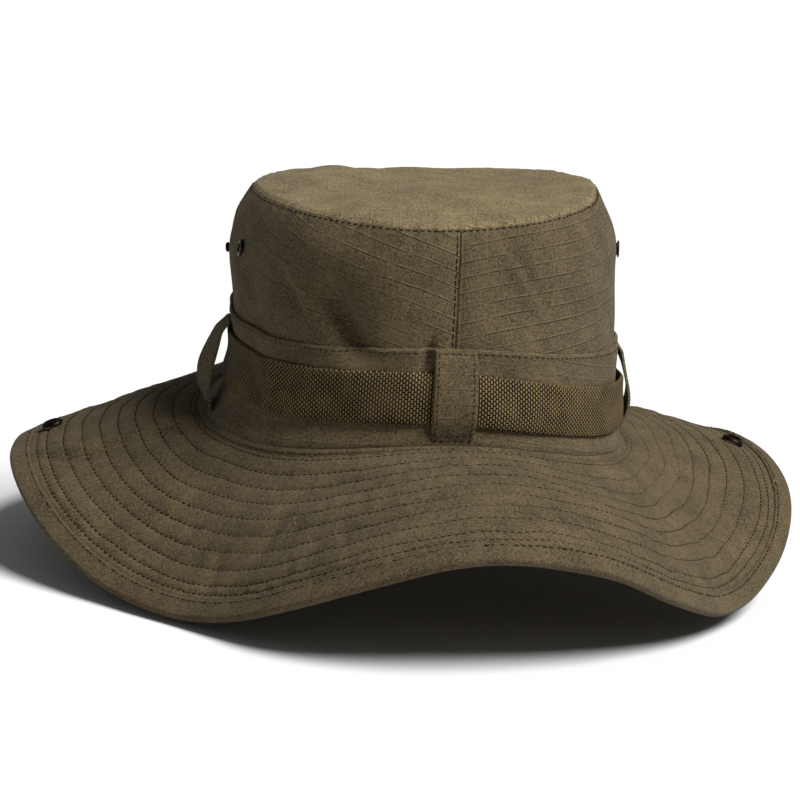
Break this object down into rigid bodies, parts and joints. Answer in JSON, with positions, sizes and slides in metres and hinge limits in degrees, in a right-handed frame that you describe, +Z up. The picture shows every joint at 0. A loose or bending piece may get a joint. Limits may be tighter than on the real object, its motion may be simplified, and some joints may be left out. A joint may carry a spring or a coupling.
{
  "type": "boonie hat",
  "caption": "Wide-brimmed cloth bush hat: oval ripstop crown, webbing band in keeper loops, side vents, and brim sides that fold up and snap to the crown.",
  "frame": {"origin": "middle of the head opening, at the height of the seam between crown and brim", "axes": "+Z up through the crown, -Y towards the wearer's front, +X towards the wearer's left side"},
  "size_m": [0.3451, 0.3685, 0.1729],
  "materials": {
    "crown_ripstop": "dull olive-brown cotton ripstop, grid of thicker threads about 6 mm apart",
    "brim_cotton": "dull olive-brown cotton with concentric rows of stitching",
    "edge_binding": "folded cloth hem at the brim's edge",
    "webbing": "coarse woven cotton webbing",
    "sweatband_cotton": "plain cotton band inside the crown",
    "seam_tape": "narrow cotton tape over the inside seams",
    "label_cloth": "blank woven size label",
    "dark_brass": "blackened brass, worn on the edges"
  },
  "bodies": {
    "crown": {"brim_top_cloth": "brim_cotton", "brim_under_cloth": "brim_cotton", "crown_seam_tape_back": "seam_tape", "crown_seam_tape_front": "seam_tape", "crown_side_left": "crown_ripstop", "crown_side_right": "crown_ripstop", "crown_tip": "crown_ripstop", "edge_binding_back": "edge_binding", "edge_binding_front": "edge_binding", "keeper_loop_back": "crown_ripstop", "keeper_loop_front": "crown_ripstop", "keeper_loop_left": "crown_ripstop", "keeper_loop_right": "crown_ripstop", "outer_band": "crown_ripstop", "size_label": "label_cloth", "snap_stud_left": "dark_brass", "snap_stud_right": "dark_brass", "stud_backing_left": "dark_brass", "stud_backing_right": "dark_brass", "sweatband": "sweatband_cotton", "tip_seam_tape": "seam_tape", "vent_eyelet_left_back": "dark_brass", "vent_eyelet_left_front": "dark_brass", "vent_eyelet_right_back": "dark_brass", "vent_eyelet_right_front": "dark_brass", "vent_washer_left_back": "dark_brass", "vent_washer_left_front": "dark_brass", "vent_washer_right_back": "dark_brass", "vent_washer_right_front": "dark_brass", "webbing_band": "webbing"},
    "left_brim_flap": {"brim_top_cloth_left_flap": "brim_cotton", "brim_under_cloth_left_flap": "brim_cotton", "edge_binding_left": "edge_binding", "snap_cap_left": "dark_brass", "snap_socket_left": "dark_brass"},
    "right_brim_flap": {"brim_top_cloth_right_flap": "brim_cotton", "brim_under_cloth_right_flap": "brim_cotton", "edge_binding_right": "edge_binding", "snap_cap_right": "dark_brass", "snap_socket_right": "dark_brass"}
  },
  "joints": [
    {"name": "left_brim_fold", "type": "hinge", "parent": "crown", "child": "left_brim_flap", "pos_m": [-0.094, 0, 0.001], "axis": [0, 1, 0], "range_deg": [0, 119.5], "deforming": ["keeper_loop_left"]},
    {"name": "right_brim_fold", "type": "hinge", "parent": "crown", "child": "right_brim_flap", "pos_m": [0.094, 0, 0.001], "axis": [0, -1, 0], "range_deg": [0, 116.5], "deforming": ["keeper_loop_right"]}
  ]
}
